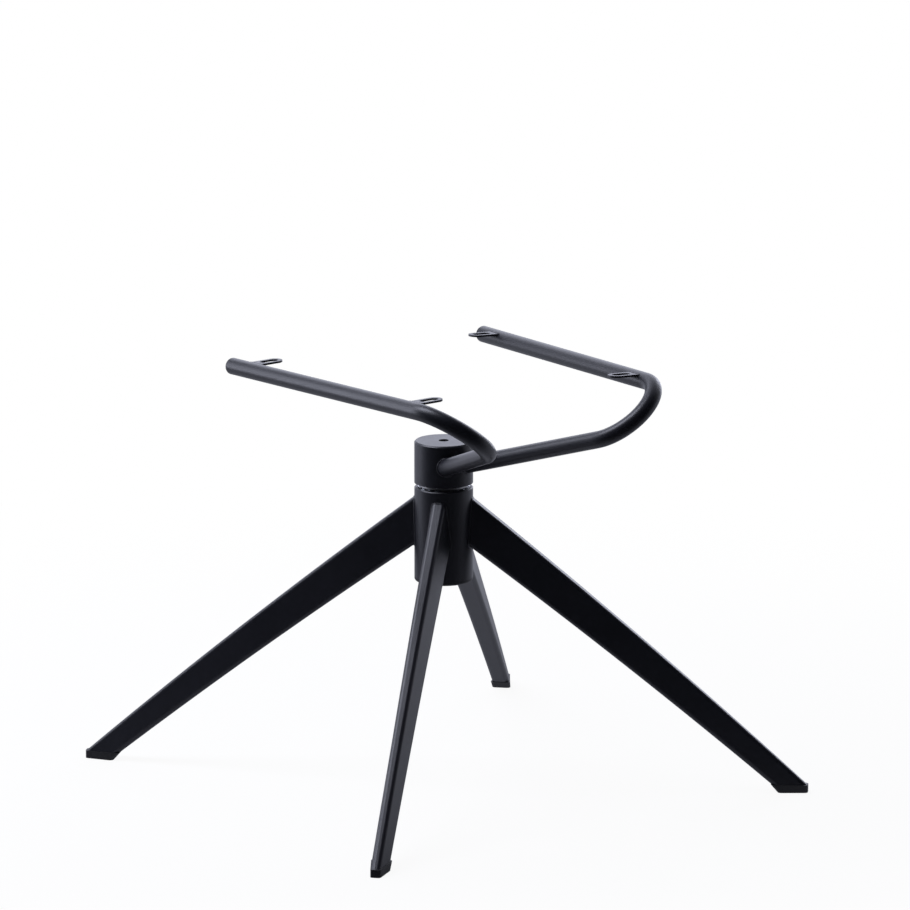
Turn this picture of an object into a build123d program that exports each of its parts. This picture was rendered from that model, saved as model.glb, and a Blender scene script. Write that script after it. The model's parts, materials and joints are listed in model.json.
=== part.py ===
"""Four-leg swivel chair base with a hairpin-tube seat carrier.

Millimetres, +Z up. The origin is on the floor, on the column's axis. The seat faces -Y, X is across.
Four tapered steel legs are welded to a short column. A head turns on the column, on a ball thrust
bearing, and carries two bent tubes with four slotted tabs that a seat is bolted to.
"""

import os
from math import atan2, cos, hypot, radians, sin, tan

from build123d import *

# --- clearances ---
FIT_GAP = 0.03  # between a pressed or welded pair, on the radius
RUN_GAP = 0.05  # between the spindle and its bushes, on the radius
BALL_GAP = 0.1  # between a ball and its groove
END_GAP = 0.3  # end float under the lower bush
PLUG_GAP = 0.15  # between a plastic plug and its tube

# --- column ---
COLUMN_D = 60.0
COLUMN_WALL = 3.0
COLUMN_BOTTOM = 210.5
COLUMN_TOP = 304.5
COLUMN_CHAMFER = 0.8
CAP_H = 4.0  # flange below the tube
CAP_ROUND = 2.5
CAP_SKIRT = 12.0  # length inside the tube
CAP_SKIRT_WALL = 2.0

# --- legs ---
LEG_COUNT = 4
BASE_TURN = 3.35  # degrees that the base stands turned from square to the seat
LEG_ROOT_Z = 268.0  # centre line where it meets the column
LEG_FOOT_R = 358.5  # centre line at the top of the glide
LEG_ARCH = 3.3  # rise of the centre line above its chord
LEG_DEPTH_ROOT = 40.0
LEG_DEPTH_FOOT = 23.0
LEG_TOP_W_ROOT = 13.0
LEG_TOP_W_FOOT = 8.0
LEG_UNDER_W_ROOT = 25.5
LEG_UNDER_W_FOOT = 20.5
LEG_TOP_ROUND = 3.8
LEG_UNDER_ROUND = 4.0
LEG_WALL = 2.0
LEG_STATIONS = 5

# --- glides ---
GLIDE_H = 8.0
GLIDE_PROUD = 0.9  # stands out past the leg all round
GLIDE_HEEL_SET = 7.0  # the heel slopes in by this much towards the floor
GLIDE_SIDE_SET = 0.5  # each side slopes in by this much at the heel
GLIDE_HEEL_ROUND = 4.0
GLIDE_TOE_ROUND = 3.0
GLIDE_STUB = 14.0  # length inside the leg
STUB_EASE = 1.2  # extra width left round the stub
STUB_HEEL_ROUND = 2.5
STUB_TOE_ROUND = 0.8

# --- hubs and bushes in the column ---
HUB_H = 14.0
LOWER_HUB_BOTTOM = 238.0
SPINDLE_D = 25.0
BUSH_WALL = 2.5
BUSH_FLANGE = 1.5
BUSH_FLANGE_D = 33.0

# --- thrust bearing ---
RACE_SIDE_GAP = 0.5  # between a race and the tube round it
RACE_ID = 35.0
RACE_H = 3.7
RACE_SHOWS = 0.6  # of the lower race, above the column
BALL_D = 6.0
BALL_COUNT = 16
RACE_SPACE = 3.3  # between the two races
CAGE_H = 1.6
CAGE_RIM = 0.4  # metal left beside each ball's hole

# --- head ---
HEAD_BOTTOM = 309.0
HEAD_TOP = 352.5
HEAD_CHAMFER = 1.5
HEAD_PLATE_T = 4.0
HEAD_HOLE_D = 10.5
HEAD_HUB_H = 11.0
COLLAR_D = 36.0
COLLAR_H = 4.0

# --- lower end of the spindle ---
STUD_D = 16.0
WASHER_D = 34.0
WASHER_T = 3.0
NUT_FLATS = 24.0
NUT_H = 14.0
STUD_PAST_NUT = 3.0
STUD_CHAMFER = 1.0

# --- seat tubes ---
TUBE_D = 17.2
TUBE_WALL = 2.0
BEND_R = 44.0
ARM_X = 142.5  # half the spacing of the arms, beside the column axis
ARM_Z = 423.2  # height of the arms there
ARM_BACK = 166.5  # open end, behind the axis
ARM_SPLAY = 2.9  # degrees that each arm opens towards the back
ARM_TILT = 2.5  # degrees that the arms fall towards the back
ARM_LINE_FRONT = 368.3  # where the arm's line would meet the branch's line
BRANCH_X = 11.7  # the branch's line inside the head
BRANCH_FRONT = 22.9
BRANCH_Z = 329.6
PLUG_DOME = 2.5
PLUG_ROUND = 2.0
PLUG_DEPTH = 14.0

# --- tabs ---
TAB_FRONT = 157.0
TAB_BACK = 133.0
TAB_T = 2.0
TAB_W = 18.0
TAB_REACH = 36.0  # from the tube's centre line to the tip
TAB_TIP_FLAT = 1.0  # straight edge left between the tip's two rounded corners
TAB_BELOW = 1.8  # top face below the tube's top
TAB_LIFT = 2.0  # degrees that the tip is raised
SLOT_W = 10.0
SLOT_L = 20.0
SLOT_EDGE = 4.0  # metal left at the tip

# --- worked out from the sizes above ---
COLUMN_R = COLUMN_D / 2
COLUMN_BORE_R = COLUMN_R - COLUMN_WALL
SPINDLE_R = SPINDLE_D / 2
BUSH_R = SPINDLE_R + RUN_GAP + BUSH_WALL
RACE_R = COLUMN_BORE_R - RACE_SIDE_GAP
BALL_PITCH_R = (RACE_R + RACE_ID / 2) / 2
POCKET_R = BALL_D / 2 + BALL_GAP
LOWER_RACE_TOP = COLUMN_TOP + RACE_SHOWS
LOWER_RACE_BOTTOM = LOWER_RACE_TOP - RACE_H
BALL_Z = LOWER_RACE_TOP + RACE_SPACE / 2
UPPER_RACE_BOTTOM = LOWER_RACE_TOP + RACE_SPACE
HEAD_HUB_BOTTOM = UPPER_RACE_BOTTOM + RACE_H
UPPER_HUB_BOTTOM = LOWER_RACE_BOTTOM - HUB_H
WASHER_TOP = LOWER_HUB_BOTTOM - BUSH_FLANGE - END_GAP
NUT_TOP = WASHER_TOP - WASHER_T
TUBE_R = TUBE_D / 2
SIDES = {"left": -1, "right": 1}


def save(part, label):
    """Label a finished piece and write its STEP file."""
    part.label = label
    export_step(part, f"parts/{label}.step")


def ring(bottom, height, outer_r, inner_r):
    """Add a plain ring about the column axis to the current part."""
    with BuildSketch(Plane.XY.offset(bottom)) as profile:
        Circle(outer_r)
        Circle(inner_r, mode=Mode.SUBTRACT)
    extrude(profile.sketch, amount=height)


# ---------------------------------------------------------------- column


def make_column_tube():
    with BuildPart() as column_tube:
        ring(COLUMN_BOTTOM, COLUMN_TOP - COLUMN_BOTTOM, COLUMN_R, COLUMN_BORE_R)
        rim = column_tube.edges().filter_by(GeomType.CIRCLE).group_by(Axis.Z)[-1].sort_by(SortBy.RADIUS)[-1]
        chamfer(rim, COLUMN_CHAMFER)
    save(column_tube.part, "column_tube")


def make_column_cap():
    skirt_r = COLUMN_BORE_R - PLUG_GAP
    with BuildPart() as column_cap:
        with BuildSketch(Plane.XY.offset(COLUMN_BOTTOM - CAP_H)):
            Circle(COLUMN_R)
        extrude(amount=CAP_H)
        fillet(column_cap.edges().group_by(Axis.Z)[0], CAP_ROUND)
        ring(COLUMN_BOTTOM, CAP_SKIRT, skirt_r, skirt_r - CAP_SKIRT_WALL)
    save(column_cap.part, "column_cap")


def make_hub(label, bottom):
    """Turned steel disc welded into the column tube, bored for a bush."""
    with BuildPart() as hub:
        ring(bottom, HUB_H, COLUMN_BORE_R - FIT_GAP, BUSH_R + FIT_GAP)
    save(hub.part, label)


def make_bush(label, hub_bottom, flange_up):
    """Flanged bronze bush. Its flange lies against the open face of the hub."""
    flange_bottom = hub_bottom + HUB_H if flange_up else hub_bottom - BUSH_FLANGE
    with BuildPart() as bush:
        ring(hub_bottom, HUB_H, BUSH_R, SPINDLE_R + RUN_GAP)
        ring(flange_bottom, BUSH_FLANGE, BUSH_FLANGE_D / 2, SPINDLE_R + RUN_GAP)
    save(bush.part, label)


# ---------------------------------------------------------------- legs and glides


def leg_line(share):
    """Radius, height and slope of a leg's centre line, from the column (0) to the glide (1)."""
    run = LEG_FOOT_R - COLUMN_R
    drop = LEG_ROOT_Z - GLIDE_H
    chord = hypot(run, drop)
    rise = 4 * LEG_ARCH * share * (1 - share)
    radius = COLUMN_R + run * share + rise * drop / chord
    height = LEG_ROOT_Z - drop * share + rise * run / chord
    bend = 4 * LEG_ARCH * (1 - 2 * share) / chord
    slope = atan2(drop, run) - bend
    return radius, height, slope


def blend(at_root, at_foot, share):
    return at_root + (at_foot - at_root) * share


def leg_section(azimuth, share, wall):
    """Rounded trapezoid across the leg, narrow side up, made smaller all round by wall."""
    radius, height, slope = leg_line(share)
    depth = blend(LEG_DEPTH_ROOT, LEG_DEPTH_FOOT, share)
    top_w = blend(LEG_TOP_W_ROOT, LEG_TOP_W_FOOT, share)
    under_w = blend(LEG_UNDER_W_ROOT, LEG_UNDER_W_FOOT, share)
    out_x, out_y = cos(radians(azimuth)), sin(radians(azimuth))
    across = Plane(
        origin=(radius * out_x, radius * out_y, height),
        x_dir=(out_y, -out_x, 0),
        z_dir=(-out_x * cos(slope), -out_y * cos(slope), sin(slope)),
    )
    with BuildSketch(across) as section:
        with BuildLine():
            Polyline(
                (-under_w / 2, -depth / 2),
                (under_w / 2, -depth / 2),
                (top_w / 2, depth / 2),
                (-top_w / 2, depth / 2),
                close=True,
            )
        make_face()
        fillet(section.vertices().group_by(Axis.Y)[0], LEG_UNDER_ROUND)
        fillet(section.vertices().group_by(Axis.Y)[-1], LEG_TOP_ROUND)
        if wall:
            offset(amount=-wall, mode=Mode.REPLACE)
    return section.sketch


def make_leg(label, azimuth):
    """Hollow tapered leg, saddle-cut on the column and cut level above its glide.

    It is lofted from the column's axis to a leg's depth below the glide's top, and then cut.
    """
    first = -COLUMN_R / (LEG_FOOT_R - COLUMN_R)
    last = 1 + LEG_DEPTH_FOOT / (LEG_ROOT_Z - GLIDE_H)
    shares = [blend(first, last, step / (LEG_STATIONS - 1)) for step in range(LEG_STATIONS)]
    with BuildPart() as leg:
        loft([leg_section(azimuth, share, 0) for share in shares])
        loft([leg_section(azimuth, share, LEG_WALL) for share in shares], mode=Mode.SUBTRACT)
        with BuildSketch(Plane.XY):
            Circle(COLUMN_R + FIT_GAP)
        extrude(amount=COLUMN_TOP * 2, mode=Mode.SUBTRACT)
        split(bisect_by=Plane.XY.offset(GLIDE_H), keep=Keep.TOP)
    save(leg.part, label)


def glide_outline(azimuth, height, heel, toe, heel_w, toe_w, heel_round, toe_round):
    """Rounded trapezoid lying level, its long way along the leg's azimuth."""
    level = Plane(origin=(0, 0, height), x_dir=(cos(radians(azimuth)), sin(radians(azimuth)), 0), z_dir=(0, 0, 1))
    with BuildSketch(level) as outline:
        with BuildLine():
            Polyline((heel, -heel_w / 2), (toe, -toe_w / 2), (toe, toe_w / 2), (heel, heel_w / 2), close=True)
        make_face()
        fillet(outline.vertices().group_by(Axis.X)[0], heel_round)
        fillet(outline.vertices().group_by(Axis.X)[-1], toe_round)
    return outline.sketch


def make_glide(label, azimuth):
    """Plastic cap under a leg, level on the floor, with a stub up inside the leg."""
    _, _, slope = leg_line(1)
    half = LEG_DEPTH_FOOT / 2 / sin(slope)
    heel = LEG_FOOT_R - half - GLIDE_PROUD
    toe = LEG_FOOT_R + half + GLIDE_PROUD
    heel_w = LEG_UNDER_W_FOOT + 2 * GLIDE_PROUD
    toe_w = LEG_TOP_W_FOOT + 2 * GLIDE_PROUD
    inset = LEG_WALL + PLUG_GAP
    along_inset = (inset + STUB_EASE / 2) / sin(slope)
    lean = Vector(-cos(radians(azimuth)) * cos(slope), -sin(radians(azimuth)) * cos(slope), sin(slope))
    with BuildPart() as glide:
        rounds = (GLIDE_HEEL_ROUND, GLIDE_TOE_ROUND)
        floor_w = heel_w - 2 * GLIDE_SIDE_SET
        foot = glide_outline(azimuth, 0, heel + GLIDE_HEEL_SET, toe, floor_w, toe_w, *rounds)
        head = glide_outline(azimuth, GLIDE_H, heel, toe, heel_w, toe_w, *rounds)
        loft([foot, head])
        stub = glide_outline(
            azimuth,
            GLIDE_H,
            LEG_FOOT_R - half + along_inset,
            LEG_FOOT_R + half - along_inset,
            LEG_UNDER_W_FOOT - 2 * inset - STUB_EASE,
            LEG_TOP_W_FOOT - 2 * inset - STUB_EASE,
            STUB_HEEL_ROUND,
            STUB_TOE_ROUND,
        )
        extrude(stub, amount=GLIDE_STUB, dir=lean)
    save(glide.part, label)


# ---------------------------------------------------------------- thrust bearing


def make_race(label, bottom):
    """Bearing washer with a ball groove. The groove faces the balls."""
    with BuildPart() as race:
        ring(bottom, RACE_H, RACE_R, RACE_ID / 2)
        with BuildSketch(Plane.XZ):
            with Locations((BALL_PITCH_R, BALL_Z)):
                Circle(POCKET_R)
        revolve(axis=Axis.Z, mode=Mode.SUBTRACT)
    save(race.part, label)


def make_ball_cage():
    half_w = POCKET_R + CAGE_RIM
    with BuildPart() as ball_cage:
        ring(BALL_Z - CAGE_H / 2, CAGE_H, BALL_PITCH_R + half_w, BALL_PITCH_R - half_w)
        with BuildSketch(Plane.XY.offset(BALL_Z - CAGE_H / 2)):
            with PolarLocations(BALL_PITCH_R, BALL_COUNT):
                Circle(POCKET_R)
        extrude(amount=CAGE_H, mode=Mode.SUBTRACT)
    save(ball_cage.part, "ball_cage")


def make_bearing_balls():
    with BuildPart(Plane.XY.offset(BALL_Z)) as bearing_balls:
        with PolarLocations(BALL_PITCH_R, BALL_COUNT):
            Sphere(BALL_D / 2)
    save(bearing_balls.part, "bearing_balls")


# ---------------------------------------------------------------- head and spindle


def make_head_sleeve():
    with BuildPart() as head_sleeve:
        ring(HEAD_BOTTOM, HEAD_TOP - HEAD_PLATE_T - HEAD_BOTTOM, COLUMN_R, COLUMN_BORE_R)
    save(head_sleeve.part, "head_sleeve")


def make_head_plate():
    with BuildPart() as head_plate:
        ring(HEAD_TOP - HEAD_PLATE_T, HEAD_PLATE_T, COLUMN_R, HEAD_HOLE_D / 2)
        top_edges = head_plate.edges().filter_by(GeomType.CIRCLE).group_by(Axis.Z)[-1].sort_by(SortBy.RADIUS)
        chamfer(top_edges[-1], HEAD_CHAMFER)
    save(head_plate.part, "head_plate")


def make_head_hub():
    """Disc welded into the sleeve. It rests on the bearing and holds the spindle."""
    with BuildPart() as head_hub:
        ring(HEAD_HUB_BOTTOM, HEAD_HUB_H, COLUMN_BORE_R - FIT_GAP, SPINDLE_R + FIT_GAP)
    save(head_hub.part, "head_hub")


def make_spindle():
    hub_top = HEAD_HUB_BOTTOM + HEAD_HUB_H
    stud_bottom = NUT_TOP - NUT_H - STUD_PAST_NUT
    with BuildPart() as spindle:
        with BuildSketch(Plane.XY.offset(hub_top)):
            Circle(COLLAR_D / 2)
        extrude(amount=COLLAR_H)
        with BuildSketch(Plane.XY.offset(WASHER_TOP)):
            Circle(SPINDLE_R)
        extrude(amount=hub_top - WASHER_TOP)
        with BuildSketch(Plane.XY.offset(stud_bottom)):
            Circle(STUD_D / 2)
        extrude(amount=WASHER_TOP - stud_bottom)
        chamfer(spindle.edges().group_by(Axis.Z)[0], STUD_CHAMFER)
    save(spindle.part, "spindle")


def make_thrust_washer():
    with BuildPart() as thrust_washer:
        ring(WASHER_TOP - WASHER_T, WASHER_T, WASHER_D / 2, STUD_D / 2 + FIT_GAP)
    save(thrust_washer.part, "thrust_washer")


def make_spindle_nut():
    with BuildPart() as spindle_nut:
        with BuildSketch(Plane.XY.offset(NUT_TOP - NUT_H)):
            RegularPolygon(NUT_FLATS / 2, 6, major_radius=False)
            Circle(STUD_D / 2 + FIT_GAP, mode=Mode.SUBTRACT)
        extrude(amount=NUT_H)
    save(spindle_nut.part, "spindle_nut")


# ---------------------------------------------------------------- seat tubes


def arm_point(side, front):
    """Point on an arm's line, a distance in front of the column axis."""
    x = ARM_X - front * tan(radians(ARM_SPLAY))
    z = ARM_Z + front * tan(radians(ARM_TILT))
    return Vector(side * x, -front, z)


def arm_backward(side):
    return (arm_point(side, -1) - arm_point(side, 0)).normalized()


def make_seat_tube(label, side):
    """Bent tube: a branch rises from the head, turns back in one bend, and runs on as the arm."""
    root = Vector(side * BRANCH_X, -BRANCH_FRONT, BRANCH_Z)
    corner = arm_point(side, ARM_LINE_FRONT)
    with BuildPart() as seat_tube:
        with BuildLine():
            FilletPolyline(root, corner, arm_point(side, -ARM_BACK), radius=BEND_R)
        with BuildSketch(Plane(origin=root, z_dir=corner - root)):
            Circle(TUBE_R)
            Circle(TUBE_R - TUBE_WALL, mode=Mode.SUBTRACT)
        sweep()
        with BuildSketch(Plane.XY):
            Circle(COLUMN_R + FIT_GAP)
        extrude(amount=HEAD_TOP * 2, mode=Mode.SUBTRACT)
    save(seat_tube.part, label)


def make_tube_plug(label, side):
    """Plastic plug in an arm's open end, with a low dome outside."""
    plug_r = TUBE_R - TUBE_WALL - PLUG_GAP
    end = arm_point(side, -ARM_BACK)
    with BuildPart() as tube_plug:
        with BuildSketch(Plane(origin=end, z_dir=arm_backward(side))):
            Circle(TUBE_R)
        extrude(amount=PLUG_DOME)
        fillet(tube_plug.edges().sort_by(Axis.Y)[-1], PLUG_ROUND)
        with BuildSketch(Plane(origin=end, z_dir=-arm_backward(side))):
            Circle(plug_r)
        extrude(amount=PLUG_DEPTH)
    save(tube_plug.part, label)


def make_tab(label, side, front):
    """Slotted plate on an arm's inner flank, pointing in. The slot runs across the seat."""
    tilt, lift = radians(ARM_TILT), radians(TAB_LIFT)
    arm_up = Vector(0, sin(tilt), cos(tilt))
    arm_inward = Vector(-side, 0, 0)
    inward = arm_inward * cos(lift) + arm_up * sin(lift)
    up = arm_up * cos(lift) - arm_inward * sin(lift)
    slot_middle = TAB_REACH - SLOT_EDGE - SLOT_L / 2
    top = Plane(origin=arm_point(side, front) + up * (TUBE_R - TAB_BELOW), x_dir=inward, z_dir=up)
    with BuildPart() as tab:
        with BuildSketch(top):
            with Locations((TAB_REACH / 2, 0)):
                Rectangle(TAB_REACH, TAB_W)
        extrude(amount=-TAB_T)
        tip = tab.edges().filter_by(lambda edge: abs(edge.length - TAB_T) < 1e-3).sort_by(Axis.X)
        fillet(tip[:2] if side > 0 else tip[-2:], (TAB_W - TAB_TIP_FLAT) / 2)
        with BuildSketch(top):
            with Locations((slot_middle, 0)):
                SlotOverall(SLOT_L, SLOT_W)
        extrude(amount=-TAB_T, mode=Mode.SUBTRACT)
        with BuildSketch(Plane(origin=arm_point(side, front - TAB_W), z_dir=arm_backward(side))):
            Circle(TUBE_R + FIT_GAP)
        extrude(amount=2 * TAB_W, both=True, mode=Mode.SUBTRACT)
    save(tab.part, label)


def main():
    os.makedirs("parts", exist_ok=True)
    make_column_tube()
    make_column_cap()
    make_hub("upper_hub", UPPER_HUB_BOTTOM)
    make_hub("lower_hub", LOWER_HUB_BOTTOM)
    make_bush("upper_bush", UPPER_HUB_BOTTOM, True)
    make_bush("lower_bush", LOWER_HUB_BOTTOM, False)
    corners = ["front_left", "front_right", "rear_right", "rear_left"]
    for index, corner in enumerate(corners):
        azimuth = -135 + BASE_TURN + index * 360 / LEG_COUNT
        make_leg(f"leg_{corner}", azimuth)
        make_glide(f"glide_{corner}", azimuth)
    make_race("lower_race", LOWER_RACE_BOTTOM)
    make_race("upper_race", UPPER_RACE_BOTTOM)
    make_ball_cage()
    make_bearing_balls()
    make_head_sleeve()
    make_head_plate()
    make_head_hub()
    make_spindle()
    make_thrust_washer()
    make_spindle_nut()
    for name, side in SIDES.items():
        make_seat_tube(f"seat_tube_{name}", side)
        make_tube_plug(f"tube_plug_{name}", side)
        make_tab(f"tab_front_{name}", side, TAB_FRONT)
        make_tab(f"tab_rear_{name}", side, -TAB_BACK)


main()
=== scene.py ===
"""Swivel chair base: finishes, weld beads, studio and camera.

Every length is in metres unless its name ends in _mm. The frame is the CAD model's own: origin on the
floor at the column's axis, +Z up, the seat faces -Y.
"""

from __future__ import annotations

import json
import logging
from dataclasses import dataclass
from enum import Enum
from math import cos, pi, radians, sin, tan

import bpy
from mathutils import Matrix, Vector


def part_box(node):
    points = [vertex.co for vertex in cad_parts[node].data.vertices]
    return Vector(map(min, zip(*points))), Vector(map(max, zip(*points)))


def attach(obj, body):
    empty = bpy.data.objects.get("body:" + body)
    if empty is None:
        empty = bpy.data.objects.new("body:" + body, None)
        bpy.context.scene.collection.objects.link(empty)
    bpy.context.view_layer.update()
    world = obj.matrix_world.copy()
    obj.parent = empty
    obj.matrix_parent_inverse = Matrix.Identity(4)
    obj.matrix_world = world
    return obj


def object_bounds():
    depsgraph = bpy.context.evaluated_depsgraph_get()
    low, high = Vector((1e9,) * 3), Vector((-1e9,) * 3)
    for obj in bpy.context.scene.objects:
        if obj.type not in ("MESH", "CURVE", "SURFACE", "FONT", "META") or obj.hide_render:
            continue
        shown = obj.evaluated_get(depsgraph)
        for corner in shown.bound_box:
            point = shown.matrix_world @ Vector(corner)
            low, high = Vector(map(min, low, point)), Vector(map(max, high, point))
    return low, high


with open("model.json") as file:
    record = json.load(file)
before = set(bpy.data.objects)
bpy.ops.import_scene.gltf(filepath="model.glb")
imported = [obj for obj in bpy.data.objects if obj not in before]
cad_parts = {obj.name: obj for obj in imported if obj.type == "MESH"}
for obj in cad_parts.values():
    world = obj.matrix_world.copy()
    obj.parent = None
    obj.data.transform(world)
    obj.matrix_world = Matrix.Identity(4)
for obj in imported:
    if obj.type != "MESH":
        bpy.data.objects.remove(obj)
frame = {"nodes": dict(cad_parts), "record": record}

CAD_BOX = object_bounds()
LOG = logging.getLogger("chair_base")
MM = 0.001
UP = Vector((0, 0, 1))

# Colour of the lamps and of all that is mirrored: a little cooler than white.
COOL_LIGHT = "#E0E3F4"

# Sockets of a colour Mix node, whose A, B and Result each stand in it several times.
MIX_A = 6
MIX_B = 7
MIX_RESULT = 2

# A Wave texture turns this many radians in one unit of its own scale.
WAVE_RADIANS = 20

# Points of a new piece that lie nearer than this become one.
MERGE_WITHIN = 0.02 * MM


class Body(Enum):
    """Rigid bodies of the base that a piece can ride on."""

    BASE = "base"
    SEAT_CARRIER = "seat_carrier"


class Grain(Enum):
    """Fine surface patterns that a finish can carry."""

    PEEL = "peel"
    TURNED = "turned"
    PORES = "pores"


# ---------------------------------------------------------------- finishes


def linear(hex_colour: str) -> tuple[float, float, float, float]:
    """Turn an sRGB hex colour into linear RGBA.

    Args:
        hex_colour: Colour such as "#26272C".

    Returns:
        Linear red, green, blue and an alpha of 1.
    """
    levels = [int(hex_colour[i : i + 2], 16) / 255 for i in (1, 3, 5)]
    values = [v / 12.92 if v <= 0.04045 else ((v + 0.055) / 1.055) ** 2.4 for v in levels]
    return (values[0], values[1], values[2], 1.0)


def add_node(
    tree: bpy.types.NodeTree,
    kind: str,
    settings: dict[str, object] | None = None,
    values: dict[str, object] | None = None,
    links: dict[str, bpy.types.NodeSocket] | None = None,
) -> bpy.types.Node:
    """Add a shader node, set it up and link its inputs.

    Args:
        tree: Node tree that gets the node.
        kind: Blender's type name of the node.
        settings: Attributes of the node itself.
        values: Constant values by input name.
        links: Output sockets to link, by input name.

    Returns:
        The new node.
    """
    node = tree.nodes.new(kind)
    for name, setting in (settings or {}).items():
        setattr(node, name, setting)
    for name, value in (values or {}).items():
        node.inputs[name].default_value = value
    for name, socket in (links or {}).items():
        tree.links.new(socket, node.inputs[name])
    return node


@dataclass(frozen=True)
class Finish:
    """One surface finish, from its real material and how it was made.

    Attributes:
        name: Plain name of the material.
        colour: Main sRGB colour.
        second: sRGB colour that it drifts towards in slow patches.
        metallic: 1 for bare metal, 0 for paint and plastic.
        roughness: Smoothest value.
        roughness_spread: Added to it in the roughest patches.
        grain: Fine pattern of the surface.
        grain_mm: Size of one grain, or the pitch of the tool marks.
        depth_mm: Height of the grain.
        patch_mm: Size of the slow patches of colour and gloss.
        ior: Index of refraction of paint or plastic.
    """

    name: str
    colour: str
    second: str
    metallic: float
    roughness: float
    roughness_spread: float
    grain: Grain
    grain_mm: float
    depth_mm: float
    patch_mm: float
    ior: float = 1.5

    def pattern(self, tree: bpy.types.NodeTree, place: bpy.types.NodeSocket) -> bpy.types.NodeSocket:
        """Add the fine grain.

        Args:
            tree: Material's node tree.
            place: Object coordinates.

        Returns:
            Height of the grain, 0 to 1.
        """
        per_metre = 1 / (self.grain_mm * MM)
        if self.grain is Grain.TURNED:
            rings = add_node(
                tree,
                "ShaderNodeTexWave",
                {"wave_type": "RINGS", "rings_direction": "Z"},
                {
                    "Scale": 2 * pi * per_metre / WAVE_RADIANS,
                    "Distortion": 0.6,
                    "Detail": 2.0,
                    "Detail Scale": 4.0,
                },
                {"Vector": place},
            )
            return rings.outputs["Fac"]
        if self.grain is Grain.PORES:
            pores = add_node(
                tree, "ShaderNodeTexVoronoi", {"feature": "F1"}, {"Scale": per_metre}, {"Vector": place}
            )
            return pores.outputs["Distance"]
        peel = add_node(
            tree,
            "ShaderNodeTexNoise",
            {"noise_dimensions": "3D"},
            {"Scale": per_metre, "Detail": 3.0, "Roughness": 0.55},
            {"Vector": place},
        )
        return peel.outputs["Fac"]

    def build(self) -> bpy.types.Material:
        """Make the material.

        Returns:
            The finished material.
        """
        material = bpy.data.materials.new(self.name)
        material.use_nodes = True
        tree = material.node_tree
        shader = tree.nodes["Principled BSDF"]
        place = add_node(tree, "ShaderNodeTexCoord").outputs["Object"]
        patches = add_node(
            tree,
            "ShaderNodeTexNoise",
            values={"Scale": 1 / (self.patch_mm * MM), "Detail": 4.0, "Roughness": 0.5},
            links={"Vector": place},
        )
        drift = add_node(
            tree,
            "ShaderNodeMix",
            {"data_type": "RGBA"},
            links={"Factor": patches.outputs["Fac"]},
        )
        drift.inputs[MIX_A].default_value = linear(self.colour)
        drift.inputs[MIX_B].default_value = linear(self.second)
        gloss = add_node(
            tree,
            "ShaderNodeMapRange",
            values={"To Min": self.roughness, "To Max": self.roughness + self.roughness_spread},
            links={"Value": patches.outputs["Fac"]},
        )
        bump = add_node(
            tree,
            "ShaderNodeBump",
            values={"Strength": 1.0, "Distance": self.depth_mm * MM},
            links={"Height": self.pattern(tree, place)},
        )
        tree.links.new(drift.outputs[MIX_RESULT], shader.inputs["Base Color"])
        tree.links.new(gloss.outputs["Result"], shader.inputs["Roughness"])
        tree.links.new(bump.outputs["Normal"], shader.inputs["Normal"])
        shader.inputs["Metallic"].default_value = self.metallic
        if not self.metallic:
            shader.inputs["IOR"].default_value = self.ior
        return material


# Polyester powder, oven cured: satin black with a fine orange peel. The real peel is about 0.5 mm
# across, and is drawn twice that so that it shows.
POWDER_COAT = Finish(
    name="black_powder_coat",
    colour="#14151B",
    second="#1A1B23",
    metallic=0.0,
    roughness=0.34,
    roughness_spread=0.08,
    grain=Grain.PEEL,
    grain_mm=1.1,
    depth_mm=0.045,
    patch_mm=45.0,
)

# Moulded polypropylene with a spark-eroded grain: deeper black and duller than the coat.
MOULDED_PLASTIC = Finish(
    name="moulded_polypropylene",
    colour="#0E0E10",
    second="#161618",
    metallic=0.0,
    roughness=0.46,
    roughness_spread=0.12,
    grain=Grain.PEEL,
    grain_mm=0.7,
    depth_mm=0.05,
    patch_mm=20.0,
    ior=1.49,
)

# Hardened bearing steel, ground and polished: bright, with shallow rings about the axis. Real grinding
# marks are under 0.1 mm apart, and are drawn coarser so that they show.
BEARING_STEEL = Finish(
    name="ground_bearing_steel",
    colour="#D2D4D8",
    second="#BFC2C7",
    metallic=1.0,
    roughness=0.10,
    roughness_spread=0.08,
    grain=Grain.TURNED,
    grain_mm=3.14,
    depth_mm=0.003,
    patch_mm=9.0,
)

# Mild steel from the lathe, oiled: tool marks that run round the axis, drawn coarser than the real
# 0.3 mm so that they show.
TURNED_STEEL = Finish(
    name="turned_mild_steel",
    colour="#A5A6A8",
    second="#8E8F92",
    metallic=1.0,
    roughness=0.26,
    roughness_spread=0.14,
    grain=Grain.TURNED,
    grain_mm=3.77,
    depth_mm=0.015,
    patch_mm=14.0,
)

# Bright zinc plate over steel: pale, with a faint blue cloud.
ZINC_PLATE = Finish(
    name="bright_zinc_plate",
    colour="#C3C7CC",
    second="#AEB6C2",
    metallic=1.0,
    roughness=0.22,
    roughness_spread=0.12,
    grain=Grain.PEEL,
    grain_mm=1.5,
    depth_mm=0.01,
    patch_mm=8.0,
)

# Cold-rolled strip, pressed and tumbled: dull silver with soft dents.
PRESSED_STEEL = Finish(
    name="pressed_steel_strip",
    colour="#B4B4B3",
    second="#9C9C9D",
    metallic=1.0,
    roughness=0.30,
    roughness_spread=0.15,
    grain=Grain.PEEL,
    grain_mm=1.2,
    depth_mm=0.02,
    patch_mm=10.0,
)

# Sintered bronze, full of oil: brown gold with open pores.
SINTERED_BRONZE = Finish(
    name="sintered_bronze",
    colour="#A67C4A",
    second="#8A6439",
    metallic=1.0,
    roughness=0.40,
    roughness_spread=0.15,
    grain=Grain.PORES,
    grain_mm=0.6,
    depth_mm=0.03,
    patch_mm=6.0,
)

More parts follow.
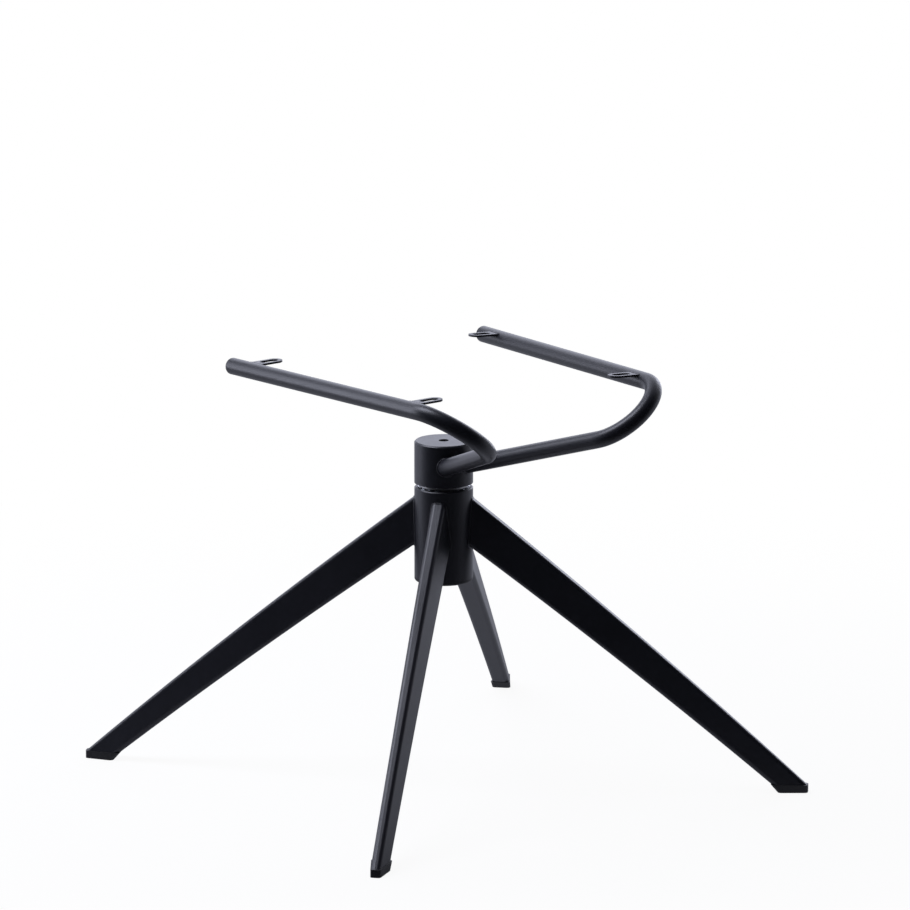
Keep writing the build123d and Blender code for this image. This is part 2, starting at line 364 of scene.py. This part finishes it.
FINISH_OF_SLOT: dict[str, Finish] = {
    "powder_coat": POWDER_COAT,
    "black_plastic": MOULDED_PLASTIC,
    "bearing_steel": BEARING_STEEL,
    "machined_steel": TURNED_STEEL,
    "zinc_plate": ZINC_PLATE,
    "pressed_steel": PRESSED_STEEL,
    "bronze": SINTERED_BRONZE,
}


class Paintshop:
    """Holds one built material for each slot of the record."""

    def __init__(self) -> None:
        """Build every finish once."""
        self.materials = {slot: finish.build() for slot, finish in FINISH_OF_SLOT.items()}

    def coat(self, piece: bpy.types.Object, slot: str) -> None:
        """Give a piece the finish of a slot.

        Args:
            piece: Mesh object to finish.
            slot: Material slot named in the record.
        """
        piece.data.materials.clear()
        piece.data.materials.append(self.materials[slot])

    def coat_frame(self) -> None:
        """Finish every CAD node by its slot in the record."""
        for subpart in frame["record"]["subparts"]:
            self.coat(frame["nodes"][subpart["node"]], subpart["material_slot"])


# ---------------------------------------------------------------- modelling helpers


def deselect_all() -> None:
    """Leave object mode with nothing selected."""
    if bpy.context.mode != "OBJECT":
        bpy.ops.object.mode_set(mode="OBJECT")
    bpy.ops.object.select_all(action="DESELECT")


def select_only(piece: bpy.types.Object) -> None:
    """Make one object the only selected and active one.

    Args:
        piece: Object to select.
    """
    deselect_all()
    piece.select_set(True)
    bpy.context.view_layer.objects.active = piece


def apply_modifier(piece: bpy.types.Object, kind: str, **settings: object) -> None:
    """Add a modifier, set it up and apply it.

    Args:
        piece: Object that gets the modifier.
        kind: Blender's type name of the modifier.
        settings: Attributes of the modifier.
    """
    select_only(piece)
    modifier = piece.modifiers.new(kind.lower(), kind)
    for name, value in settings.items():
        setattr(modifier, name, value)
    bpy.ops.object.modifier_apply(modifier=modifier.name)


def settle(piece: bpy.types.Object) -> None:
    """Put a finished piece's place into its mesh and make its normals point out.

    Args:
        piece: New mesh object.
    """
    select_only(piece)
    bpy.ops.object.transform_apply(location=True, rotation=True, scale=True)
    bpy.ops.object.mode_set(mode="EDIT")
    bpy.ops.mesh.select_all(action="SELECT")
    bpy.ops.mesh.remove_doubles(threshold=MERGE_WITHIN)
    bpy.ops.mesh.normals_make_consistent(inside=False)
    bpy.ops.object.mode_set(mode="OBJECT")
    bpy.ops.object.shade_smooth()


def finish_piece(piece: bpy.types.Object, body: Body, slot: str, paintshop: Paintshop) -> None:
    """Settle, paint and hang a new piece on its body.

    Args:
        piece: New mesh object.
        body: Body that it moves with.
        slot: Material slot that it takes its finish from.
        paintshop: Source of the finishes.
    """
    settle(piece)
    paintshop.coat(piece, slot)
    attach(piece, body.value)
    LOG.info("%s: %d faces on %s", piece.name, len(piece.data.polygons), body.value)


@dataclass
class WeldBead:
    """A closed fillet weld: an outline is thrown on to a surface and thickened into a rippled bead.

    Attributes:
        name: Name of the finished piece.
        target: CAD node that the outline is thrown on to.
        radius: Half the bead's thickness.
        steps: Cuts along each side of a section's outline.
        circle_points: Points of a round outline.
        corner_segments: Segments in each corner of a section's outline.
        roundness: Extra segments in each quarter of the bead's own section.
        ripple: Height of the ripples.
        ripple_size: Spacing of the ripples.
    """

    name: str
    target: bpy.types.Object
    radius: float = 1.1 * MM
    steps: int = 10
    circle_points: int = 60
    corner_segments: int = 5
    roundness: int = 3
    ripple: float = 0.35 * MM
    ripple_size: float = 2.4 * MM

    def throw(self, outline: bpy.types.Object) -> None:
        """Project an outline along its own -Z on to the target.

        Args:
            outline: Closed wire in its own XY plane.
        """
        apply_modifier(
            outline,
            "SHRINKWRAP",
            target=self.target,
            wrap_method="PROJECT",
            use_project_z=True,
            use_negative_direction=True,
            use_positive_direction=False,
        )

    def thicken(self, outline: bpy.types.Object) -> bpy.types.Object:
        """Turn a wire into a solid, slightly uneven bead.

        Args:
            outline: Closed wire that lies on the joint.

        Returns:
            The bead as a mesh.
        """
        select_only(outline)
        bpy.ops.object.convert(target="CURVE")
        outline.data.bevel_depth = self.radius
        outline.data.bevel_resolution = self.roundness
        bpy.ops.object.convert(target="MESH")
        bpy.ops.object.transform_apply(location=True, rotation=True, scale=True)
        clouds = bpy.data.textures.new(f"{self.name}_ripple", "CLOUDS")
        clouds.noise_scale = self.ripple_size
        apply_modifier(
            outline, "DISPLACE", texture=clouds, texture_coords="LOCAL", strength=self.ripple, mid_level=0.5
        )
        bpy.data.textures.remove(clouds)
        outline.name = self.name
        outline.data.name = self.name
        return outline

    def around_circle(self, matrix: Matrix, radius: float) -> bpy.types.Object:
        """Lay the bead round a tube's end.

        Args:
            matrix: Place of the outline, its -Z along the tube towards the target.
            radius: Radius of the tube.

        Returns:
            The bead as a mesh.
        """
        deselect_all()
        bpy.ops.mesh.primitive_circle_add(vertices=self.circle_points, radius=radius)
        outline = bpy.context.object
        outline.matrix_world = matrix
        self.throw(outline)
        return self.thicken(outline)

    def around_section(
        self, matrix: Matrix, height: float, low_width: float, high_width: float, corner: float
    ) -> bpy.types.Object:
        """Lay the bead round a tapered box section.

        Args:
            matrix: Place of the outline, its -Z along the section towards the target.
            height: Size of the section along the outline's Y.
            low_width: Width at the low edge.
            high_width: Width at the high edge.
            corner: Radius of the corners.

        Returns:
            The bead as a mesh.
        """
        deselect_all()
        bpy.ops.mesh.primitive_plane_add(size=1)
        outline = bpy.context.object
        outline.scale = (low_width, height, 1)
        bpy.ops.object.transform_apply(location=False, rotation=False, scale=True)
        for vertex in outline.data.vertices:
            if vertex.co.y > 0:
                vertex.co.x *= high_width / low_width
        bpy.ops.object.mode_set(mode="EDIT")
        bpy.ops.mesh.select_mode(type="VERT")
        bpy.ops.mesh.select_all(action="SELECT")
        bpy.ops.mesh.bevel(offset=corner, affect="VERTICES", segments=self.corner_segments)
        bpy.ops.mesh.select_all(action="SELECT")
        bpy.ops.mesh.delete(type="ONLY_FACE")
        bpy.ops.mesh.select_all(action="SELECT")
        bpy.ops.mesh.subdivide(number_cuts=self.steps)
        bpy.ops.object.mode_set(mode="OBJECT")
        outline.matrix_world = matrix
        self.throw(outline)
        return self.thicken(outline)


def aim_matrix(place: Vector, towards: Vector, up: Vector) -> Matrix:
    """Matrix at a place whose -Z points along towards and whose Y is as near up as it can be.

    Args:
        place: Origin.
        towards: Direction of -Z.
        up: Rough direction of Y.

    Returns:
        The 4x4 matrix.
    """
    z_axis = -towards.normalized()
    x_axis = up.cross(z_axis).normalized()
    y_axis = z_axis.cross(x_axis)
    rotation = Matrix((x_axis, y_axis, z_axis)).transposed()
    return Matrix.Translation(place) @ rotation.to_4x4()


# ---------------------------------------------------------------- sub-assemblies


@dataclass
class LegWelds:
    """Fillet welds where the four legs meet the column.

    Attributes:
        first_turn: Degrees from +X to the front left leg of a base that stands square.
        spacing: Degrees from one leg to the next.
        base_turn: Degrees that the base stands turned from square.
        slope: Degrees that a leg falls from level at the column.
        root_height: Height of a leg's centre line at the column.
        depth: Depth of the leg's section there.
        under_width: Width of its underside.
        top_width: Width of its top.
        corner: Radius of its corners.
        start: Distance along the leg from which the outline is thrown on to the column.
    """

    first_turn: float = -135
    spacing: float = 90
    base_turn: float = 3.35
    slope: float = 36.5
    root_height: float = 0.268
    depth: float = 0.0402
    under_width: float = 0.0258
    top_width: float = 0.0132
    corner: float = 0.0039
    start: float = 0.05

    def build(self, paintshop: Paintshop) -> None:
        """Model the four beads.

        Args:
            paintshop: Source of the finishes.
        """
        column = frame["nodes"]["column_tube"]
        low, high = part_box("column_tube")
        column_r = (high[0] - low[0]) / 2
        fall = radians(self.slope)
        for index, corner in enumerate(("front_left", "front_right", "rear_right", "rear_left")):
            turn = radians(self.first_turn + self.base_turn + self.spacing * index)
            out = Vector((cos(turn), sin(turn), 0))
            along = out * cos(fall) - UP * sin(fall)
            place = out * column_r + UP * self.root_height + along * self.start
            bead = WeldBead(f"weld_leg_{corner}", column)
            piece = bead.around_section(
                aim_matrix(place, -along, UP),
                self.depth,
                self.under_width,
                self.top_width,
                self.corner,
            )
            finish_piece(piece, Body.BASE, "powder_coat", paintshop)


@dataclass
class SeatTubeWelds:
    """Welds of the seat tubes: each tube's branch to the head, and each tab to its arm.

    Attributes:
        tube_radius: Outside radius of the tube.
        branch_root: Point on the right branch's line inside the head.
        arm_beside_axis: Point on the right arm's line beside the column axis.
        bend_corner_front: Distance in front of the axis where branch and arm lines meet.
        arm_splay: Degrees that each arm opens outwards to the back.
        arm_tilt: Degrees that the arms fall to the back.
        front_tab: Distance of the front tabs in front of the axis.
        rear_tab: Distance of the rear tabs in front of the axis, less than 0 as they are behind it.
        tab_width: Width of a tab along the arm.
        tab_thickness: Thickness of a tab.
        tab_below: Depth of a tab's top face below the top of the tube.
        tab_lift: Degrees that a tab's tip is raised.
        tab_edge: Share of a tab's thickness that its bead goes round.
        tab_corner: Radius of the corners of a tab's bead.
        branch_bead: Half the thickness of a branch's bead.
        tab_bead: Half the thickness of a tab's bead.
        tab_steps: Cuts along each side of a tab bead's outline.
        branch_gap: Distance of a branch's bead outside the tube.
        branch_start: Distance along a branch from which its outline is thrown on to the head.
        tab_start: Distance along a tab from which its outline is thrown on to the tube.
    """

    tube_radius: float = 0.0086
    branch_root: Vector = Vector((0.0117, -0.0229, 0.3296))
    arm_beside_axis: Vector = Vector((0.1425, 0, 0.4232))
    bend_corner_front: float = 0.3683
    arm_splay: float = 2.9
    arm_tilt: float = 2.5
    front_tab: float = 0.157
    rear_tab: float = -0.133
    tab_width: float = 0.018
    tab_thickness: float = 0.002
    tab_below: float = 0.0018
    tab_lift: float = 2.0
    tab_edge: float = 0.8
    tab_corner: float = 0.8 * MM
    branch_bead: float = 1.2 * MM
    tab_bead: float = 0.9 * MM
    tab_steps: int = 6
    branch_gap: float = 0.2 * MM
    branch_start: float = 0.05
    tab_start: float = 0.03

    def arm_point(self, side: int, front: float) -> Vector:
        """Point on an arm's line.

        Args:
            side: -1 for left, 1 for right.
            front: Distance in front of the column axis.

        Returns:
            The point.
        """
        x = self.arm_beside_axis.x - front * tan(radians(self.arm_splay))
        z = self.arm_beside_axis.z + front * tan(radians(self.arm_tilt))
        return Vector((side * x, -front, z))

    def build(self, paintshop: Paintshop) -> None:
        """Model the beads of both tubes.

        Args:
            paintshop: Source of the finishes.
        """
        for name, side in (("left", -1), ("right", 1)):
            self.build_branch(name, side, paintshop)
            for row, front in (("front", self.front_tab), ("rear", self.rear_tab)):
                self.build_tab(f"{row}_{name}", name, side, front, paintshop)

    def build_branch(self, name: str, side: int, paintshop: Paintshop) -> None:
        """Model the bead where a branch leaves the head.

        Args:
            name: left or right.
            side: -1 for left, 1 for right.
            paintshop: Source of the finishes.
        """
        root = Vector((side * self.branch_root.x, self.branch_root.y, self.branch_root.z))
        along = (self.arm_point(side, self.bend_corner_front) - root).normalized()
        start = aim_matrix(root + along * self.branch_start, -along, UP)
        bead = WeldBead(f"weld_branch_{name}", frame["nodes"]["head_sleeve"], self.branch_bead)
        piece = bead.around_circle(start, self.tube_radius + self.branch_gap)
        finish_piece(piece, Body.SEAT_CARRIER, "powder_coat", paintshop)

    def build_tab(self, label: str, tube: str, side: int, front: float, paintshop: Paintshop) -> None:
        """Model the bead round the root of a tab.

        Args:
            label: Row and side of the tab.
            tube: left or right.
            side: -1 for left, 1 for right.
            front: Distance of the tab in front of the axis.
            paintshop: Source of the finishes.
        """
        tilt, lift = radians(self.arm_tilt), radians(self.tab_lift)
        arm_up = Vector((0, sin(tilt), cos(tilt)))
        arm_inward = Vector((-side, 0, 0))
        inward = arm_inward * cos(lift) + arm_up * sin(lift)
        up = arm_up * cos(lift) - arm_inward * sin(lift)
        middle = self.tube_radius - self.tab_below - self.tab_thickness / 2
        place = self.arm_point(side, front) + up * middle + inward * self.tab_start
        arm = frame["nodes"][f"seat_tube_{tube}"]
        bead = WeldBead(f"weld_tab_{label}", arm, self.tab_bead, self.tab_steps)
        piece = bead.around_section(
            aim_matrix(place, -inward, up),
            self.tab_thickness * self.tab_edge,
            self.tab_width,
            self.tab_width,
            self.tab_corner,
        )
        finish_piece(piece, Body.SEAT_CARRIER, "powder_coat", paintshop)


# ---------------------------------------------------------------- studio


@dataclass
class Lamp:
    """A soft box that points at the middle of the base.

    Attributes:
        name: Name of the lamp.
        turn: Degrees round the column from the camera, counter-clockwise from above.
        distance: Distance from the column.
        height: Height of the lamp's centre.
        width: Width of the box.
        tall: Height of the box.
        power: Radiant power in watts.
    """

    name: str
    turn: float
    distance: float
    height: float
    width: float
    tall: float
    power: float

    def build(self, camera_turn: float, target: Vector) -> None:
        """Hang the lamp.

        Args:
            camera_turn: Degrees that the camera looks away from +Y.
            target: Point that it lights.
        """
        turn = radians(self.turn + camera_turn)
        place = Vector((self.distance * sin(turn), -self.distance * cos(turn), self.height))
        deselect_all()
        bpy.ops.object.light_add(type="AREA", location=place)
        lamp = bpy.context.object
        lamp.name = self.name
        lamp.data.shape = "RECTANGLE"
        lamp.data.size = self.width
        lamp.data.size_y = self.tall
        lamp.data.energy = self.power
        lamp.data.color = linear(COOL_LIGHT)[:3]
        lamp.rotation_euler = (target - place).to_track_quat("-Z", "Y").to_euler()


@dataclass(frozen=True)
class Fade:
    """A smooth change of strength along the camera's level line of sight.

    Attributes:
        start: Where the change starts. On the floor it is the depth past the column. In the room it is
            1 straight away from the camera, 0 to either side and less than 0 towards the camera.
        end: Where it ends.
        front: Strength on the camera's side of the start.
        back: Strength beyond the end.
    """

    start: float
    end: float
    front: float
    back: float


@dataclass
class Studio:
    """White floor, soft light and the camera.

    Attributes:
        camera_turn: Degrees that the camera looks away from +Y, counter-clockwise from above.
        camera_distance: Level distance from the column axis.
        camera_height: Height above the floor.
        camera_pitch: Degrees that it looks down.
        camera_side: Distance that it stands to the right of the column.
        focal_mm: Focal length.
        sensor_mm: Width of the sensor.
        sight: Distance that the camera can see.
        floor_colour: Colour of the floor's paint.
        floor_roughness: Roughness of that paint.
        floor_size: Side of the floor.
        floor_drop: Depth of the floor under the feet.
        shadow_near: Distance from the column within which the floor is dullest and shows shadow best.
        shadow_far: Distance where the shadow has faded out.
        near_glow: Share of the near floor that is plain white, the rest being lit paint.
        floor_near: Mirrored brightness of the floor under the base.
        floor_far: Mirrored brightness that the floor behind the base adds to that.
        room: Brightness of the room to everything but the camera.
    """

    camera_turn: float = -31.53
    camera_distance: float = 6.571
    camera_height: float = 1.8626
    camera_pitch: float = 13.07
    camera_side: float = 0.0115
    focal_mm: float = 262.2
    sensor_mm: float = 36.0
    sight: float = 100
    floor_colour: str = "#F4F4F4"
    floor_roughness: float = 0.9
    floor_size: float = 60
    floor_drop: float = 0.2 * MM
    shadow_near: float = 0.35
    shadow_far: float = 1.3
    near_glow: float = 0.93
    floor_near: Fade = Fade(start=-0.62, end=-0.05, front=0.02, back=0.55)
    floor_far: Fade = Fade(start=0.3, end=2.0, front=0.0, back=0.4)
    room: Fade = Fade(start=0.0, end=0.8, front=0.03, back=0.85)

    def build(self) -> None:
        """Set up the whole studio."""
        self.build_camera()
        self.build_floor()
        self.build_world()
        self.build_lamps()

    def build_camera(self) -> None:
        """Place the camera."""
        turn = radians(self.camera_turn)
        start = Vector((self.camera_side, -self.camera_distance, self.camera_height))
        place = Matrix.Rotation(turn, 4, "Z") @ start
        deselect_all()
        bpy.ops.object.camera_add(location=place, rotation=(radians(90 - self.camera_pitch), 0, turn))
        camera = bpy.context.object
        camera.name = "studio_camera"
        camera.data.lens = self.focal_mm
        camera.data.sensor_width = self.sensor_mm
        camera.data.clip_end = self.sight
        bpy.context.scene.camera = camera
        bpy.context.scene.view_settings.view_transform = "Standard"

    def build_floor(self) -> None:
        """Lay the floor.

        To the camera it is white with a soft shadow under the base. Mirrored in paint and metal it is
        dark near the camera and brighter behind the base. Otherwise it is plain white paint.
        """
        deselect_all()
        bpy.ops.mesh.primitive_plane_add(size=self.floor_size, location=(0, 0, -self.floor_drop))
        floor = bpy.context.object
        floor.name = "studio_floor"
        material = bpy.data.materials.new("white_studio_floor")
        material.use_nodes = True
        tree = material.node_tree
        paint = tree.nodes["Principled BSDF"]
        paint.inputs["Base Color"].default_value = linear(self.floor_colour)
        paint.inputs["Roughness"].default_value = self.floor_roughness
        seen = add_node(tree, "ShaderNodeLightPath")
        place = add_node(tree, "ShaderNodeTexCoord").outputs["Object"]
        distance = add_node(tree, "ShaderNodeVectorMath", {"operation": "LENGTH"}, links={0: place})
        straight = add_node(
            tree,
            "ShaderNodeMapRange",
            {"interpolation_type": "SMOOTHSTEP"},
            {
                "From Min": self.shadow_near,
                "From Max": self.shadow_far,
                "To Min": self.near_glow,
                "To Max": 1.0,
            },
            {"Value": distance.outputs["Value"]},
        )
        aside = add_node(
            tree,
            "ShaderNodeMath",
            {"operation": "MAXIMUM"},
            links={0: seen.outputs["Is Glossy Ray"], 1: seen.outputs["Is Transmission Ray"]},
        )
        share = add_node(
            tree,
            "ShaderNodeMapRange",
            links={
                "Value": seen.outputs["Is Camera Ray"],
                "To Min": aside.outputs[0],
                "To Max": straight.outputs["Result"],
            },
        )
        mirrored = add_node(
            tree,
            "ShaderNodeMath",
            {"operation": "ADD"},
            links={0: self.fade(tree, place, self.floor_near), 1: self.fade(tree, place, self.floor_far)},
        )
        glow = add_node(
            tree,
            "ShaderNodeEmission",
            links={
                "Color": self.cool_unless_seen(tree, seen),
                "Strength": self.full_if_seen(tree, seen, mirrored.outputs[0]),
            },
        )
        mix = add_node(
            tree,
            "ShaderNodeMixShader",
            links={0: share.outputs[0], 1: paint.outputs[0], 2: glow.outputs[0]},
        )
        tree.links.new(mix.outputs[0], tree.nodes["Material Output"].inputs["Surface"])
        floor.data.materials.append(material)

    def cool_unless_seen(self, tree: bpy.types.NodeTree, seen: bpy.types.Node) -> bpy.types.NodeSocket:
        """Add a colour that is plain white to the camera and cool to everything else.

        Args:
            tree: Node tree that gets the node.
            seen: Light path node.

        Returns:
            The colour.
        """
        colour = add_node(
            tree, "ShaderNodeMix", {"data_type": "RGBA"}, links={"Factor": seen.outputs["Is Camera Ray"]}
        )
        colour.inputs[MIX_A].default_value = linear(COOL_LIGHT)
        colour.inputs[MIX_B].default_value = (1, 1, 1, 1)
        return colour.outputs[MIX_RESULT]

    def full_if_seen(
        self, tree: bpy.types.NodeTree, seen: bpy.types.Node, otherwise: bpy.types.NodeSocket
    ) -> bpy.types.NodeSocket:
        """Add a strength that is 1 to the camera.

        Args:
            tree: Node tree that gets the node.
            seen: Light path node.
            otherwise: Strength to everything else.

        Returns:
            The strength.
        """
        strength = add_node(
            tree,
            "ShaderNodeMapRange",
            values={"To Max": 1.0},
            links={"Value": seen.outputs["Is Camera Ray"], "To Min": otherwise},
        )
        return strength.outputs["Result"]

    def fade(
        self, tree: bpy.types.NodeTree, vector: bpy.types.NodeSocket, change: Fade
    ) -> bpy.types.NodeSocket:
        """Add a change of strength along the camera's level line of sight.

        Args:
            tree: Node tree that gets the nodes.
            vector: Place or direction to measure.
            change: Where it starts and ends, and both strengths.

        Returns:
            The strength.
        """
        turn = radians(self.camera_turn)
        depth = add_node(
            tree,
            "ShaderNodeVectorMath",
            {"operation": "DOT_PRODUCT"},
            {1: (-sin(turn), cos(turn), 0)},
            {0: vector},
        )
        strength = add_node(
            tree,
            "ShaderNodeMapRange",
            {"interpolation_type": "SMOOTHSTEP"},
            {
                "From Min": change.start,
                "From Max": change.end,
                "To Min": change.front,
                "To Max": change.back,
            },
            {"Value": depth.outputs["Value"]},
        )
        return strength.outputs["Result"]

    def build_world(self) -> None:
        """Light the room from its far side, while the camera sees it as white."""
        world = bpy.data.worlds.new("studio_room")
        bpy.context.scene.world = world
        world.use_nodes = True
        tree = world.node_tree
        seen = add_node(tree, "ShaderNodeLightPath")
        direction = add_node(tree, "ShaderNodeTexCoord").outputs["Generated"]
        strength = self.full_if_seen(tree, seen, self.fade(tree, direction, self.room))
        background = tree.nodes["Background"]
        tree.links.new(self.cool_unless_seen(tree, seen), background.inputs["Color"])
        tree.links.new(strength, background.inputs["Strength"])

    def build_lamps(self) -> None:
        """Hang the soft boxes: a wide one behind, one high and one low on the left, one behind right."""
        low, high = CAD_BOX
        target = Vector((0, 0, (low[2] + high[2]) / 2))
        lamps = (
            Lamp("softbox_back", turn=180, distance=3.0, height=1.45, width=3.0, tall=1.8, power=26),
            Lamp("softbox_top", turn=-95, distance=1.0, height=2.0, width=1.0, tall=1.3, power=34),
            Lamp("softbox_left", turn=-105, distance=2.2, height=0.8, width=0.9, tall=1.8, power=22),
            Lamp("softbox_right", turn=150, distance=2.6, height=0.8, width=0.9, tall=1.6, power=14),
        )
        for lamp in lamps:
            lamp.build(self.camera_turn, target)
            LOG.info("%s: %d W", lamp.name, lamp.power)


def main() -> None:
    """Build the finishes, the welds and the studio."""
    logging.basicConfig(level=logging.INFO, format="%(message)s")
    paintshop = Paintshop()
    paintshop.coat_frame()
    LegWelds().build(paintshop)
    SeatTubeWelds().build(paintshop)
    Studio().build()


if __name__ == "__main__":
    main()
